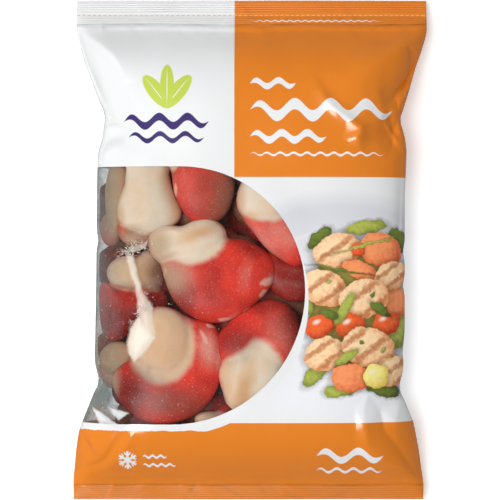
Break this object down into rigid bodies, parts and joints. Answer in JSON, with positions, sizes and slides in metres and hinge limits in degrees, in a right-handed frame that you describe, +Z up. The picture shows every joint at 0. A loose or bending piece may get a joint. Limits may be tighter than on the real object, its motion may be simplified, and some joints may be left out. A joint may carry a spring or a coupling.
{
  "type": "frozen scallop pillow bag",
  "caption": "Filled pillow bag of printed film with a flat top header, a crimped foot seal, drawn-in sides and a rounded clear window over raw scallops with roe.",
  "frame": {"origin": "on the resting surface, under the middle of the bag as it lies on its back", "axes": "+Y runs up the bag from the foot seal to the header, +Z points up out of the printed front, +X to the right as the front is read"},
  "size_m": [0.237, 0.335, 0.0581],
  "materials": {
    "printed_film": "glossy printed film, orange and white",
    "clear_film": "clear thin plastic film",
    "scallop": "moist frozen flesh, cream muscle and red roe"
  },
  "bodies": {
    "root": {"bag": "printed_film"}
  },
  "joints": []
}
